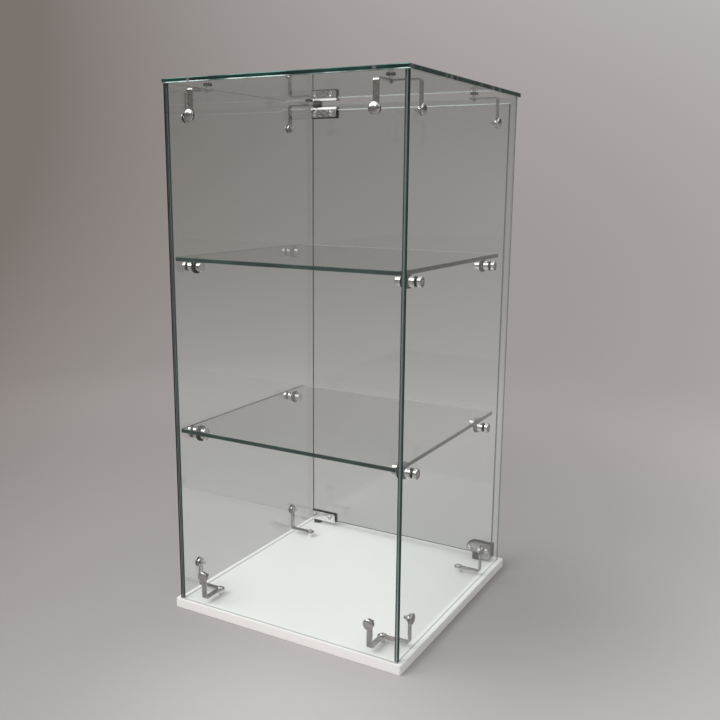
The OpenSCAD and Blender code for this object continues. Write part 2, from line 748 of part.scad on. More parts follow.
module lock_pads()
    color("black")
        difference() {
            union() {
                for (y = [pad_y0, pad_y1 - pad_t]) lock_sheet(y, y + pad_t, pad_lip);
            }
            lock_screw_holes(clamp_screw_d + 2 * slide);
            along_y(lock_mid_x, clamp_y0, clamp_y1, lock_mid_z, barrel_d + 2 * barrel_gap);
            translate([lock_x0 - pad_lip - past, clamp_y0, clamp_z0 - past])
                cube([lock_w + 2 * (pad_lip + past), clamp_y1 - clamp_y0, bridge_t + past]);
        }

module lock_screws()
    color("silver")
        for (x = [ear_x, lock_screw_x])
            translate([x, lock_y0, ear_z])
                rotate([90, 0, 0])
                    dome_screw(clamp_y1 - lock_y0 - screw_short, clamp_screw_d);

// key barrel with its crank pin; it turns to throw the bolt
module lock_barrel()
    color("gainsboro")
        difference() {
            union() {
                along_y(lock_mid_x, pad_y0 + slide, clamp_y1 + barrel_out, lock_mid_z, barrel_d);
                along_y(lock_mid_x - crank_in, bolt_y0 + slot_floor, door_y0, lock_mid_z + crank_in,
                        crank_d);
            }
            translate([lock_mid_x - key_slot[0] / 2, clamp_y1 + barrel_out - key_slot[1],
                       lock_mid_z - key_slot[2] / 2])
                cube([key_slot[0], key_slot[1] + past, key_slot[2]]);
        }

// bar that drops into the board, with the slot that the crank pin runs in
module lock_bolt()
    color("black")
        difference() {
            translate([bolt_x0, bolt_y0, bolt_z0])
                cube([lock_bolt_w, bolt_y1 - bolt_y0, bolt_top - bolt_z0]);
            translate([lock_mid_x - crank_swing - crank_d / 2 - slot_gap,
                       bolt_y0 + slot_floor - slot_gap,
                       slot_z - crank_d / 2 - slot_gap])
                cube([crank_swing - crank_in + crank_d + 2 * slot_gap, bolt_y1 - bolt_y0,
                      crank_d + 2 * slot_gap]);
        }

base_board();
front_panel();
left_panel();
right_panel();
top_panel();
lower_shelf();
upper_shelf();
low_fl_arm();
low_fr_arm();
low_rl_arm();
low_rr_arm();
top_fl_arm();
top_fr_arm();
top_rl_arm();
top_rr_arm();
wall_bolts();
wall_nuts();
base_spacers();
base_screws();
top_bolts();
top_washers();
top_spacers();
top_nuts();
support_spools();
support_rings();
support_washers();
support_caps();
lower_bush();
upper_bush();
door_panel();
lower_hinge_body();
lower_hinge_plate();
lower_hinge_pads();
lower_hinge_screws();
lower_hinge_pin();
upper_hinge_body();
upper_hinge_plate();
upper_hinge_pads();
upper_hinge_screws();
upper_hinge_pin();
lock_case();
lock_body();
lock_pads();
lock_screws();
lock_barrel();
lock_bolt();
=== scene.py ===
"""Counter-top glass display case: how its pieces look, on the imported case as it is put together."""

import math

import bmesh
import bpy
from mathutils import Matrix, Vector


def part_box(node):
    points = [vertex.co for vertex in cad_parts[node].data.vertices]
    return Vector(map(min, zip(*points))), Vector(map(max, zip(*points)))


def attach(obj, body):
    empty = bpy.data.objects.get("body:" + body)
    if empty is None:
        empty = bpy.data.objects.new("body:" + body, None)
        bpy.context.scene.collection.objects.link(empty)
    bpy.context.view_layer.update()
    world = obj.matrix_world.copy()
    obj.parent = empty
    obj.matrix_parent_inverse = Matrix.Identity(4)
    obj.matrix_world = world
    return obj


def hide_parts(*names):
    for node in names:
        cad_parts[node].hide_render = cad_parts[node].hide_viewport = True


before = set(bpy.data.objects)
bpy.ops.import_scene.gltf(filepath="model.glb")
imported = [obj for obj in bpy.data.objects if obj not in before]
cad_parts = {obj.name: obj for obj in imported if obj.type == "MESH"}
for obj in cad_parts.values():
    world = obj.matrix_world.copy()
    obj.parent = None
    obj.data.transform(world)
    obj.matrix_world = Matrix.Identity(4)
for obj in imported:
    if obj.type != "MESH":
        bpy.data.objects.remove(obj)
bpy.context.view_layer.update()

# ---- Viewpoint
# The case is seen from in front and to its right, from a little below its top, looking
# slightly down.

turn, tip, lean = (math.radians(a) for a in (29.196, 11.585, 0.521))
sight = Vector((-math.sin(turn) * math.cos(tip), math.cos(turn) * math.cos(tip), -math.sin(tip)))
level = sight.cross(Vector((0, 0, 1))).normalized()
plumb = level.cross(sight)
right = math.cos(lean) * level + math.sin(lean) * plumb
up = math.cos(lean) * plumb - math.sin(lean) * level
eye = Vector((0.67541, -1.17523, 0.66551))
lens = bpy.data.cameras.new("viewpoint")
lens.sensor_width, lens.lens, lens.clip_start, lens.clip_end = 36, 43.337, 0.02, 100
viewpoint = bpy.data.objects.new("viewpoint", lens)
bpy.context.scene.collection.objects.link(viewpoint)
viewpoint.matrix_world = Matrix.Translation(eye) @ Matrix((right, up, -sight)).transposed().to_4x4()
bpy.context.scene.camera = viewpoint
bpy.context.scene.view_settings.view_transform = "Standard"

# ---- Studio
# A pale floor that runs off into a grey room, darker to the left and above, with one large soft lamp
# in front and to the left, a small one at the right and even light from all round; near the case the
# floor carries painted light and shade, with a painted shadow to its right and a painted pool of
# light in front.


class Term:
    """A number in a material, so that sums on it are written as they are said."""

    def __init__(self, finish, socket):
        self.finish, self.socket = finish, socket

    def sum(self, operation, *others, clamp=False):
        n = self.finish.node("ShaderNodeMath", {"operation": operation, "use_clamp": clamp},
                             dict(enumerate(others)))
        return Term(self.finish, n.outputs[0])

    def __add__(self, other):
        return self.sum("ADD", self, other)

    def __sub__(self, other):
        return self.sum("SUBTRACT", self, other)

    def __rsub__(self, other):
        return self.sum("SUBTRACT", other, self)

    def __mul__(self, other):
        return self.sum("MULTIPLY", self, other)

    def __pow__(self, other):
        return self.sum("POWER", self, other)

    def __gt__(self, other):
        return self.sum("GREATER_THAN", self, other)

    def __lt__(self, other):
        return self.sum("LESS_THAN", self, other)

    __radd__, __rmul__ = __add__, __mul__

    def __abs__(self):
        return self.sum("ABSOLUTE", self)

    def least(self, other):
        return self.sum("MINIMUM", self, other)

    def most(self, other):
        return self.sum("MAXIMUM", self, other)

    def held(self):
        """The number kept between 0 and 1."""
        return self.sum("ADD", self, 0.0, clamp=True)

    def rise(self, low, high):
        """0 below low, 1 above high and smooth between them."""
        n = self.finish.node("ShaderNodeMapRange", {"interpolation_type": "SMOOTHSTEP"},
                             {"Value": self, "From Min": low, "From Max": high})
        return Term(self.finish, n.outputs[0])


class Finish:
    """The nodes of one material, or of the world."""

    def __init__(self, owner):
        owner.use_nodes = True
        self.owner, self.tree = owner, owner.node_tree
        self.tree.nodes.clear()
        kind = "World" if isinstance(owner, bpy.types.World) else "Material"
        self.end = self.tree.nodes.new("ShaderNodeOutput" + kind)

    def node(self, kind, settings=None, values=None):
        """Adds a node: its settings first, then the values or links of its sockets."""
        n = self.tree.nodes.new(kind)
        for name, value in (settings or {}).items():
            setattr(n, name, value)
        for name, value in (values or {}).items():
            if isinstance(value, Term):
                value = value.socket
            if isinstance(value, bpy.types.NodeSocket):
                self.tree.links.new(value, n.inputs[name])
            else:
                n.inputs[name].default_value = value
        return n

    def number(self, kind, output, settings=None, values=None):
        return Term(self, self.node(kind, settings, values).outputs[output])

    def path(self, *rays):
        """1 for rays of these kinds."""
        light_path = self.node("ShaderNodeLightPath")
        total = Term(self, light_path.outputs[rays[0]])
        for ray in rays[1:]:
            total = total + Term(self, light_path.outputs[ray])
        return total.held()

    def parts(self, vector):
        n = self.node("ShaderNodeSeparateXYZ", None, {0: vector})
        return [Term(self, o) for o in n.outputs]

    def place(self):
        return self.node("ShaderNodeTexCoord").outputs["Object"]

    def facing(self):
        return self.parts(self.node("ShaderNodeTexCoord").outputs["Normal"])

    def noise(self, size, detail=2.0, stretch=(1, 1, 1)):
        """Cloudy noise from 0 to 1, with clouds about size metres across, drawn out by stretch."""
        m = self.node("ShaderNodeMapping", None,
                      {"Vector": self.place(), "Scale": [s / size for s in stretch]})
        return self.number("ShaderNodeTexNoise", 0, None,
                           {"Vector": m.outputs[0], "Scale": 1.0, "Detail": detail})

    def blend(self, share, first, second, how="MIX"):
        """A share of the second colour over the first, plainly mixed or in the way how names."""
        n = self.node("ShaderNodeMix", {"data_type": "RGBA", "blend_type": how},
                      {0: share, 6: first, 7: second})
        return n.outputs[2]

    def bump(self, height, distance):
        n = self.node("ShaderNodeBump", None, {"Height": height, "Distance": distance})
        return n.outputs[0]

    def shader(self, **values):
        n = self.node("ShaderNodeBsdfPrincipled", None,
                      {name.replace("_", " "): value for name, value in values.items()})
        return n.outputs[0]

    def mixed(self, share, first, second):
        return self.node("ShaderNodeMixShader", None, {0: share, 1: first, 2: second}).outputs[0]

    def show(self, shader):
        self.tree.links.new(shader, self.end.inputs["Surface"])
        return self.owner


SEEN_RAYS = ("Is Camera Ray", "Is Glossy Ray", "Is Transmission Ray")


def room_colour(finish, ray):
    """The room's grey along a ray from the viewpoint, one formula for the far floor and the air.
    Through glass it is painted darker above and lighter below, as painted shade and painted light."""
    def along(axis):
        return finish.number("ShaderNodeVectorMath", 1, {"operation": "DOT_PRODUCT"},
                             {0: ray, 1: axis})

    view_edge = 0.42
    x = along(right).most(-view_edge).least(view_edge)
    y = along(up).most(-view_edge).least(view_edge)
    middle, slant = 0.496, 0.165 * x - 0.647 * y
    bow = -0.537 * x * x + 1.774 * x * y + 2.162 * y * y
    sway = 3.118 * x * x * x - 2.304 * x * x * y + 2.046 * x * y * y + 1.273 * y * y * y
    pale = (middle + slant + bow + sway).held()
    dusk, haze = (0.198, 0.172, 0.155, 1), (0.49, 0.465, 0.465, 1)
    painted_shade_tint, painted_light_tint = (0.66, 0.69, 0.67, 1), (0.72, 0.76, 0.74, 1)
    through_glass = finish.path("Is Transmission Ray")
    grey = finish.blend(pale, dusk, haze)
    # Painted shade above and painted light below on the room seen through glass.
    shaded = finish.blend(through_glass * y.rise(-0.30, 0.34), grey, painted_shade_tint, "MULTIPLY")
    return finish.blend(through_glass * (1 - y.rise(-0.24, 0.16)) * 0.26, shaded, painted_light_tint)


room = Finish(bpy.data.worlds.new("room"))
bpy.context.scene.world = room.owner


def background(colour, strength=1.0):
    return room.node("ShaderNodeBackground", None,
                     {"Color": colour, "Strength": strength}).outputs[0]


room_ray = room.node("ShaderNodeTexCoord").outputs["Generated"]
across, deep, high_up = room.parts(room_ray)
ceiling, white, unlit = (0.80, 0.80, 0.80, 1), (1, 1, 1, 1), (0.11, 0.105, 0.10, 1)
seen = background(room.blend(high_up.rise(0.35, 0.8), room_colour(room, room_ray), ceiling))
lit = background((0.96, 0.97, 1.0, 1), 0.60)
windows = room.number("ShaderNodeMath", 0, {"operation": "SINE"}, {0: across * 5.0 + deep * 3.0})
windows = windows.rise(0.2, 0.9) * high_up.rise(0.05, 0.25)
wall = room.blend(high_up.rise(-0.02, 0.13), room_colour(room, room_ray), unlit)
mirrored = background(
    room.blend((high_up.rise(0.15, 0.7) * 0.8 + windows * 0.35).held(), wall, white))
mirror_ray = room.path("Is Glossy Ray") * (1 - room.path("Is Transmission Ray"))
room.show(room.mixed(mirror_ray, room.mixed(room.path(*SEEN_RAYS), lit, seen), mirrored))

ground = bmesh.new()
bmesh.ops.create_circle(ground, cap_ends=True, segments=96, radius=40)
floor_mesh = bpy.data.meshes.new("floor")
ground.to_mesh(floor_mesh)
ground.free()
floor = bpy.data.objects.new("floor", floor_mesh)
bpy.context.scene.collection.objects.link(floor)
stone = Finish(bpy.data.materials.new("floor"))
spot = stone.place()
ray = stone.node("ShaderNodeVectorMath", {"operation": "SUBTRACT"}, {0: spot, 1: eye}).outputs[0]
ray = stone.node("ShaderNodeVectorMath", {"operation": "NORMALIZE"}, {0: ray}).outputs[0]
away = stone.number("ShaderNodeVectorMath", 1, {"operation": "LENGTH"}, {0: spot})


def nearby(place, reach):
    """1 at a place on the floor and 0 beyond reach from it."""
    gap = stone.number("ShaderNodeVectorMath", 1, {"operation": "DISTANCE"}, {0: spot, 1: place})
    return 1 - gap.rise(0.0, reach)


# Painted light and shade on the near floor: its grey is multiplied by a slant and a bow, less a
# painted shadow to the right of the case, plus a painted pool of light in front of it, all fading out
# between 1 and 2 m from the middle. Farther off, the floor as seen glows with the room's grey.
x, y, _ = stone.parts(spot)
middle, slant = -0.084, 0.166 * x + 0.152 * y
bow = 0.157 * x * x - 0.057 * x * y - 0.035 * y * y
painted_shadow, painted_light_pool = 0.157 * nearby((0.30, 0.05, 0), 0.36), 0.216 * nearby((0.10, -0.34, 0), 0.34)
floor_painted_light = 1 + (middle + slant + bow - painted_shadow + painted_light_pool) * (1 - away.rise(1.0, 2.0))
floor_painted_light = stone.node("ShaderNodeCombineXYZ", None, {0: floor_painted_light, 1: floor_painted_light, 2: floor_painted_light}).outputs[0]
grey = stone.node("ShaderNodeVectorMath", {"operation": "MULTIPLY"},
                  {0: room_colour(stone, ray), 1: floor_painted_light}).outputs[0]
near_floor = stone.shader(Base_Color=grey, Roughness=0.85, Specular_IOR_Level=0.1)
far_floor = stone.node("ShaderNodeEmission", None, {"Color": grey}).outputs[0]
floor_mesh.materials.append(
    stone.show(stone.mixed(away.rise(0.55, 1.3) * stone.path(*SEEN_RAYS), near_floor, far_floor)))


def lamp(name, place, aim, width, tall, watts, colour):
    light = bpy.data.lights.new(name, "AREA")
    light.shape, light.size, light.size_y = "RECTANGLE", width, tall
    light.energy, light.color = watts, colour
    carrier = bpy.data.objects.new(name, light)
    bpy.context.scene.collection.objects.link(carrier)
    place, aim = Vector(place), Vector(aim)
    carrier.matrix_world = (Matrix.Translation(place)
                            @ (aim - place).to_track_quat("-Z", "Y").to_matrix().to_4x4())


lamp("large_lamp", (-1.5, -2.0, 2.5), (0, 0, 0.3), 3.0, 2.4, 92, (1.0, 0.985, 0.96))
lamp("small_lamp", (2.4, 0.6, 2.2), (0, 0, 0.4), 0.8, 1.4, 7, (0.94, 0.97, 1.0))

# ---- Board
# Chipboard about 15 mm thick, faced in white melamine, with a thin white strip glued round
# its edges; drilled for the corner screws and pocketed for the lock's bolt.


def dress(names, material):
    """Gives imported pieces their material."""
    for name in names.split():
        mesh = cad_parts[name].data
        if not mesh.materials:
            mesh.materials.append(material)
        for i in range(len(mesh.materials)):
            mesh.materials[i] = material


def new_finish(name):
    return Finish(bpy.data.materials.new(name))


melamine = new_finish("white_melamine")
height = melamine.parts(melamine.place())[2]
glue_z, glue_half = 0.0140, 0.0002
face_white, strip_white = (0.90, 0.90, 0.875, 1), (0.88, 0.855, 0.83, 1)
greyed, glue_brown = (0.78, 0.77, 0.74, 1), (0.42, 0.38, 0.35, 1)
edge_strip = abs(melamine.facing()[2]) < 0.5
glue_line = edge_strip * (abs(height - glue_z) < glue_half)
cloud, pits = melamine.noise(0.12, 3.0), melamine.noise(0.0012, 2.0)
colour = melamine.blend(edge_strip, face_white, strip_white)
colour = melamine.blend(cloud.rise(0.35, 0.75) * 0.10, colour, greyed)
colour = melamine.blend(glue_line * 0.35, colour, glue_brown)
dress("base_board", melamine.show(melamine.shader(
    Base_Color=colour, Roughness=0.34 + 0.16 * cloud, Specular_IOR_Level=0.45,
    Normal=melamine.bump(pits, 0.00004))))

# ---- Glass walls, top, shelves and door
# Six-millimetre float glass, clear through its faces and dark green through its polished edges, whose
# corners are ground to a fine bevel; the light lines along some corners are painted highlights, and
# the pale and light grey edges are painted light.

DARK_GREEN, DEEP_GREEN = (0.006, 0.017, 0.015, 1), (0.014, 0.045, 0.038, 1)
# The mist, pale and frosted greys are painted light on the edges; the frosted one is a painted
# highlight along a ground band.
SMOKE, ASH, MIST_PAINTED_LIGHT = (0.030, 0.033, 0.032, 1), (0.16, 0.16, 0.155, 1), (0.20, 0.205, 0.20, 1)
PALE_PAINTED_LIGHT, FROSTED_HIGHLIGHT = (0.52, 0.53, 0.51, 1), (0.58, 0.64, 0.62, 1)
LEVEL = (1, 1, 0)


def sheet_glass(node, thin, colour_edges, frosted_top=0.0):
    """One sheet, thin along an axis; colour_edges gives its edges' colour and frosted_top is the
    depth of a ground band along its upper edge."""
    low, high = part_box(node)
    rim_width, float_index = 0.0012, 1.52
    glass = new_finish(node.replace("_panel", "") + "_glass")
    place, normal = glass.parts(glass.place()), glass.facing()
    rim = [(place[i] - low[i]).least(high[i] - place[i]) for i in range(3)]
    width, length = [i for i in range(3) if i != thin]
    edge = (abs(normal[thin]) < 0.9) * (rim[width].least(rim[length]) < rim_width)
    if frosted_top:
        edge = edge.most(place[2] > high[2] - frosted_top)
    smudge, wander = glass.noise(0.09, 3.0), glass.noise(0.05, 2.0)
    clear = glass.shader(Base_Color=(0.990, 0.996, 0.992, 1), IOR=float_index,
                         Roughness=smudge.rise(0.55, 0.8) * 0.012, Transmission_Weight=1.0)
    passing = glass.node("ShaderNodeBsdfTransparent", None,
                         {"Color": (0.965, 0.975, 0.968, 1)}).outputs[0]
    pane = glass.mixed(glass.path("Is Shadow Ray", "Is Diffuse Ray"), clear, passing)
    colour = glass.blend(wander.rise(0.3, 0.7), DARK_GREEN, DEEP_GREEN)
    rim_face = glass.shader(Base_Color=colour_edges(glass, colour, place, normal, rim),
                            Roughness=0.12 + 0.1 * wander, IOR=float_index,
                            Specular_IOR_Level=0.22)
    dress(node, glass.show(glass.mixed(edge, pane, rim_face)))


def top_edges(glass, colour, place, normal, rim):
    """Painted highlights: bright lines along the upper and lower corners that come and go; and pale
    bolt holes.
    """
    teal, aqua = (0.20, 0.50, 0.44, 1), (0.70, 0.92, 0.88, 1)
    grey_green, dull_grey = (0.22, 0.27, 0.255, 1), (0.17, 0.20, 0.19, 1)
    low_z, high_z = 0.80125, 0.8052
    low_line, high_line = place[2] < low_z, place[2] > high_z
    hole_x, hole_core, hole_rim = 0.1465, 0.0012, 0.0042
    glint = glass.noise(0.06, 2.0, LEVEL).rise(0.40, 0.60)
    fleck = glass.noise(0.02, 3.0, LEVEL).rise(0.52, 0.70)
    ends, sides = abs(normal[1]) > 0.3, abs(normal[0]) > 0.7
    # The teal and aqua lines are painted highlights.
    colour = glass.blend(high_line * ends * (0.25 + 0.6 * glint), colour, teal)
    colour = glass.blend(low_line * ends * (0.10 + 0.90 * glint), colour, aqua)
    colour = glass.blend((0.10 + 0.5 * fleck) * sides, colour, grey_green)
    colour = glass.blend(high_line * sides * 0.6, colour, dull_grey)
    drilling = 1 - abs(abs(place[0]) - hole_x).rise(hole_core, hole_rim)
    return glass.blend(drilling * 0.75 * (normal[1] < -0.5), colour, ASH)


def foot_of(place, normal):
    """The lower edge of a wall, on the board."""
    return (abs(normal[2]) > 0.5) * (place[2] < 0.1)


def front_edges(glass, colour, place, normal, rim):
    """Painted light: pale on the board, and a light line down the right corner as a painted
    highlight, lighter near the board.
    """
    face_y, sea_green, light_green = -0.1987, (0.16, 0.27, 0.25, 1), (0.50, 0.66, 0.61, 1)
    corner = (place[1] < face_y) * (abs(normal[2]) < 0.5) * (place[0] > 0)
    colour = glass.blend(foot_of(place, normal), colour, PALE_PAINTED_LIGHT)
    # The corner line is a painted highlight, lightened near the board with more painted light.
    colour = glass.blend(corner, colour, sea_green)
    return glass.blend(corner * (1 - place[2].rise(0.03, 0.22)) * 0.8, colour, light_green)


def side_edges(glass, colour, place, normal, rim):
    """Painted light: pale on the board, a light line down the middle in front as a painted highlight,
    light grey edges behind, and one thin dark line behind.
    """
    skin_x, line_depth, foot_rim, dull_green = 0.1912, 0.0026, 0.0009, (0.16, 0.24, 0.22, 1)
    foot, outer_skin = foot_of(place, normal), abs(place[0]) > skin_x
    middle = (1 - abs(rim[0] - line_depth).rise(0.0002, 0.0010)) * (place[1] < 0)
    rear = (place[1] > 0.18) * (abs(normal[2]) < 0.5)
    # The middle line is a painted highlight; the pale foot and the light grey rear edges are painted
    # light.
    colour = glass.blend(middle * 0.85, colour, dull_green)
    colour = glass.blend(foot, colour, PALE_PAINTED_LIGHT)
    colour = glass.blend(foot * (rim[0] < foot_rim), colour, ASH)
    colour = glass.blend(rear, colour, MIST_PAINTED_LIGHT)
    return glass.blend(rear * outer_skin, colour, SMOKE)


def shelf_edges(glass, colour, place, normal, rim):
    """A faint painted highlight along the corners in front, dark green sides and a pale edge behind,
    painted as light.
    """
    rear_y, faint_teal, side_green = 0.152, (0.10, 0.22, 0.19, 1), (0.020, 0.036, 0.032, 1)
    glint = glass.noise(0.09, 2.0, LEVEL).rise(0.45, 0.65)
    # The faint teal line is a painted highlight and the pale rear edge is painted light.
    colour = glass.blend((rim[2] < 0.0008) * (0.25 + 0.5 * glint), colour, faint_teal)
    colour = glass.blend(abs(normal[0]) > 0.7, colour, side_green)
    return glass.blend(place[1] > rear_y, colour, PALE_PAINTED_LIGHT)


def door_edges(glass, colour, place, normal, rim):
    """Grey uprights, painted as light, with a thin dark line on their corners, and a frosted band on
    top painted pale as a highlight.
    """
    band_z, corner_rim, upright = 0.7888, 0.0016, abs(normal[0]) > 0.5
    # The grey uprights are painted light.
    colour = glass.blend(upright, colour, MIST_PAINTED_LIGHT)
    colour = glass.blend(upright * (rim[1] < corner_rim), colour, SMOKE)
    # The frosted band's paleness is a painted highlight on a ground band.
    return glass.blend(place[2] > band_z, colour, FROSTED_HIGHLIGHT)


sheet_glass("front_panel", 1, front_edges)
sheet_glass("left_panel", 0, side_edges)
sheet_glass("right_panel", 0, side_edges)
sheet_glass("top_panel", 2, top_edges)
sheet_glass("lower_shelf", 2, shelf_edges)
sheet_glass("upper_shelf", 2, shelf_edges)
sheet_glass("door_panel", 1, door_edges, frosted_top=0.0015)

# ---- Corner arms
# Flat steel strip, bent square and polished before it is plated with chrome, with a bolt hole
# in each end; a front arm has two legs on one foot, a rear arm has one.


def plated(name, tone, dull, uneven=0.1):
    """Chrome plate: tone is its brightness, dull its roughness and uneven how far it wavers."""
    metal = new_finish(name)
    wear, waves, grain = (metal.noise(0.02, 4.0), metal.noise(0.0035, 2.5),
                          metal.noise(0.0009, 3.0))
    bright = (tone, tone * 0.985, tone * 0.97, 1)
    dulled = (tone * 0.55, tone * 0.53, tone * 0.50, 1)
    patches = (wear * 0.6 + waves * uneven * 4).rise(0.3, 0.7 + 2.2 * uneven)
    return metal.show(metal.shader(
        Base_Color=metal.blend(patches, bright, dulled), Metallic=1.0,
        Roughness=dull * (0.75 + 0.6 * wear),
        Normal=metal.bump(waves * uneven + 0.02 * grain, 0.0008)))


dress("low_fl_arm low_fr_arm low_rl_arm low_rr_arm top_fl_arm top_fr_arm top_rl_arm top_rr_arm",
      plated("bright_plate", 0.50, 0.13, 0.25))

# ---- Bolts, nuts and spacers
# Bolts with low domed heads through the glass and hexagon nuts behind the arms, turned from
# steel bar and plated; nylon washers and metal sleeves hold the feet off the glass and board.


def turn_profile(shape, points, segments):
    """Spins a half profile of (radius, height) points about Z into a closed skin."""
    ring = [shape.verts.new((r, 0, h)) for r, h in points]
    line = [shape.edges.new(pair) for pair in zip(ring, ring[1:])]
    bmesh.ops.spin(shape, geom=ring + line, cent=(0, 0, 0), axis=(0, 0, 1),
                   angle=math.tau, steps=segments, use_merge=True)


def add_to(shape, one, matrix):
    """Adds a finished single piece to a set of them."""
    bmesh.ops.transform(one, matrix=matrix, verts=one.verts)
    held = bpy.data.meshes.new("held")
    one.to_mesh(held)
    one.free()
    shape.from_mesh(held)
    bpy.data.meshes.remove(held)


def into_object(shape, name, material, body, node):
    """Makes the finished piece, hangs it on its body and hides the node that it stands for."""
    bmesh.ops.remove_doubles(shape, verts=shape.verts, dist=1e-7)
    bmesh.ops.recalc_face_normals(shape, faces=shape.faces)
    mesh = bpy.data.meshes.new(name)
    shape.to_mesh(mesh)
    shape.free()
    for face in mesh.polygons:
        face.use_smooth = True
    mesh.set_sharp_from_angle(angle=math.radians(28))
    mesh.materials.append(material)
    piece = bpy.data.objects.new(name, mesh)
    bpy.context.scene.collection.objects.link(piece)
    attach(piece, body)
    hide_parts(node)


mm = 0.001
head_dome = [(0, 2.95), (2.2, 2.92), (4.2, 2.78), (6.0, 2.46), (7.2, 2.02), (7.9, 1.55),
             (8.3, 1.0), (8.4, 0.5), (8.3, 0.2), (8.1, 0.05)]
shank_r, root_r, pitch, turns, thread_start = 2.5, 2.18, 0.7, 6, 11.6
bolt_profile = [(r, -h) for r, h in head_dome] + [(shank_r, -0.05), (shank_r, thread_start)]
for k in range(turns):
    bolt_profile += [(root_r, thread_start + pitch * (k + 0.5)),
                     (shank_r, thread_start + pitch * (k + 1))]
bolt_profile += [(2.1, 16.3), (1.7, 16.55), (0, 16.55)]
wall_x, front_y, bolt_levels = 0.1925, -0.1995, (0.0613, 0.7552)
foot_x, front_foot_y, rear_foot_y = 0.147, -0.154, 0.114
turned_plate = plated("turned_plate", 0.56, 0.13, 0.06)
bolts = bmesh.new()
for side in (-1, 1):
    inward = Matrix.Rotation(-side * math.pi / 2, 4, "Y")
    for bolt_z in bolt_levels:
        for hole, heading in (
                ((side * foot_x, front_y, bolt_z), Matrix.Rotation(-math.pi / 2, 4, "X")),
                ((side * wall_x, front_foot_y, bolt_z), inward),
                ((side * wall_x, rear_foot_y, bolt_z), inward)):
            bolt = bmesh.new()
            turn_profile(bolt, [(r * mm, h * mm) for r, h in bolt_profile], 32)
            add_to(bolts, bolt, Matrix.Translation(hole) @ heading)
into_object(bolts, "domed_bolts", turned_plate, "case", "wall_bolts")
dress("wall_nuts top_bolts top_nuts top_spacers", turned_plate)
dress("base_spacers", plated("sleeve_plate", 0.88, 0.34))

nylon = new_finish("black_nylon")
sheen = nylon.noise(0.004, 2.0)
nylon.show(nylon.shader(
    Base_Color=nylon.blend(sheen, (0.012, 0.012, 0.013, 1), (0.034, 0.034, 0.033, 1)),
    Roughness=0.30 + 0.15 * sheen, Specular_IOR_Level=0.3, Normal=nylon.bump(sheen, 0.00003)))
dress("top_washers", nylon.owner)

# ---- Screws
# Domed steel screws with a hexagon socket, plated; these four hold the feet to the board, and
# the same kind holds the clamps and the lock to the door.

head_r, head_high = 0.0045, 0.0028


def socket_screw(shape, matrix, length, shank):
    """Adds one screw, its head's underside at the origin and its shank down to -length."""
    one = bmesh.new()
    key_r, key_deep, tip, chamfer = 0.00155, 0.0016, 0.0006, 0.0004
    turn_profile(one, [(0, -length), (shank / 2 - chamfer, -length), (shank / 2, tip - length),
                       (shank / 2, 0), (head_r - 0.0002, 0), (head_r, 0.0002), (head_r, 0.0008),
                       (head_r - 0.0003, 0.0016), (head_r - 0.0009, 0.0023),
                       (head_r - 0.0018, head_high), (key_r + 0.0005, head_high)], 24)
    rim = [e for e in one.edges
           if e.is_boundary and all(v.co.z > head_high - 1e-6 for v in e.verts)]
    hexagon = bmesh.ops.create_circle(one, segments=6, radius=key_r,
                                      matrix=Matrix.Translation((0, 0, head_high - 0.0001)))
    ring = list({e for v in hexagon["verts"] for e in v.link_edges})
    bmesh.ops.bridge_loops(one, edges=rim + ring)
    deeper = bmesh.ops.extrude_edge_only(one, edges=ring)
    low_ring = [v for v in deeper["geom"] if isinstance(v, bmesh.types.BMVert)]
    bmesh.ops.translate(one, verts=low_ring, vec=(0, 0, -key_deep))
    bmesh.ops.contextual_create(one, geom=low_ring)
    add_to(shape, one, matrix)


screw_plate = plated("screw_plate", 0.66, 0.10)
foot_top, board_screw, screw_d = 0.025, 0.021, 0.004
screws = bmesh.new()
for screw_x in (-foot_x, foot_x):
    for screw_y in (front_foot_y, rear_foot_y):
        socket_screw(screws, Matrix.Translation((screw_x, screw_y, foot_top)), board_screw, screw_d)
into_object(screws, "foot_screws", screw_plate, "case", "base_screws")

# ---- Shelf supports
# Turned metal spools, each with a black rubber ring in its neck that carries the shelf, drawn
# up against the wall by a cap screwed in from outside, with a nylon washer on either side.

rubber = new_finish("black_rubber")
speck = rubber.noise(0.0015, 3.0)
rubber.show(rubber.shader(
    Base_Color=rubber.blend(speck, (0.008, 0.008, 0.008, 1), (0.020, 0.019, 0.019, 1)),
    Roughness=0.55 + 0.25 * speck, Specular_IOR_Level=0.12, Normal=rubber.bump(speck, 0.00005)))
dress("support_rings", rubber.owner)
dress("support_washers", nylon.owner)
dress("support_spools", plated("spool_plate", 0.60, 0.09))

cap_plate = new_finish("cap_plate")
x, y, z = cap_plate.parts(cap_plate.place())
middle_y, half_y, middle_z, half_z = -0.0255, 0.132, 0.40875, 0.13075
cap_end_x, end_r, groove_r = 0.1984, 0.0068, 0.0047
y, z = abs(y - middle_y) - half_y, abs(z - middle_z) - half_z
radius = (y * y + z * z) ** 0.5
end_face = (abs(x) > cap_end_x) * (radius < end_r)
tool_marks = cap_plate.number("ShaderNodeMath", 0, {"operation": "SINE"}, {0: radius * 9000.0})
groove = 1 - abs(radius - groove_r).rise(0.0003, 0.0009)
# The end face is drawn darker than the sides, and the groove darker still as painted shade.
colour = cap_plate.blend(end_face * (0.45 + 0.5 * groove),
                         (0.62, 0.61, 0.60, 1), (0.20, 0.19, 0.18, 1))
dress("support_caps", cap_plate.show(cap_plate.shader(
    Base_Color=colour, Metallic=1.0, Roughness=0.10 + 0.16 * end_face,
    Normal=cap_plate.bump(end_face * (tool_marks * 0.1 - groove), 0.0002))))

# ---- Door clamps
# Die-cast plates in plated metal, gripping the door's upper and lower left corners between
# rubber pads; a pin in each turns in a black nylon bush.


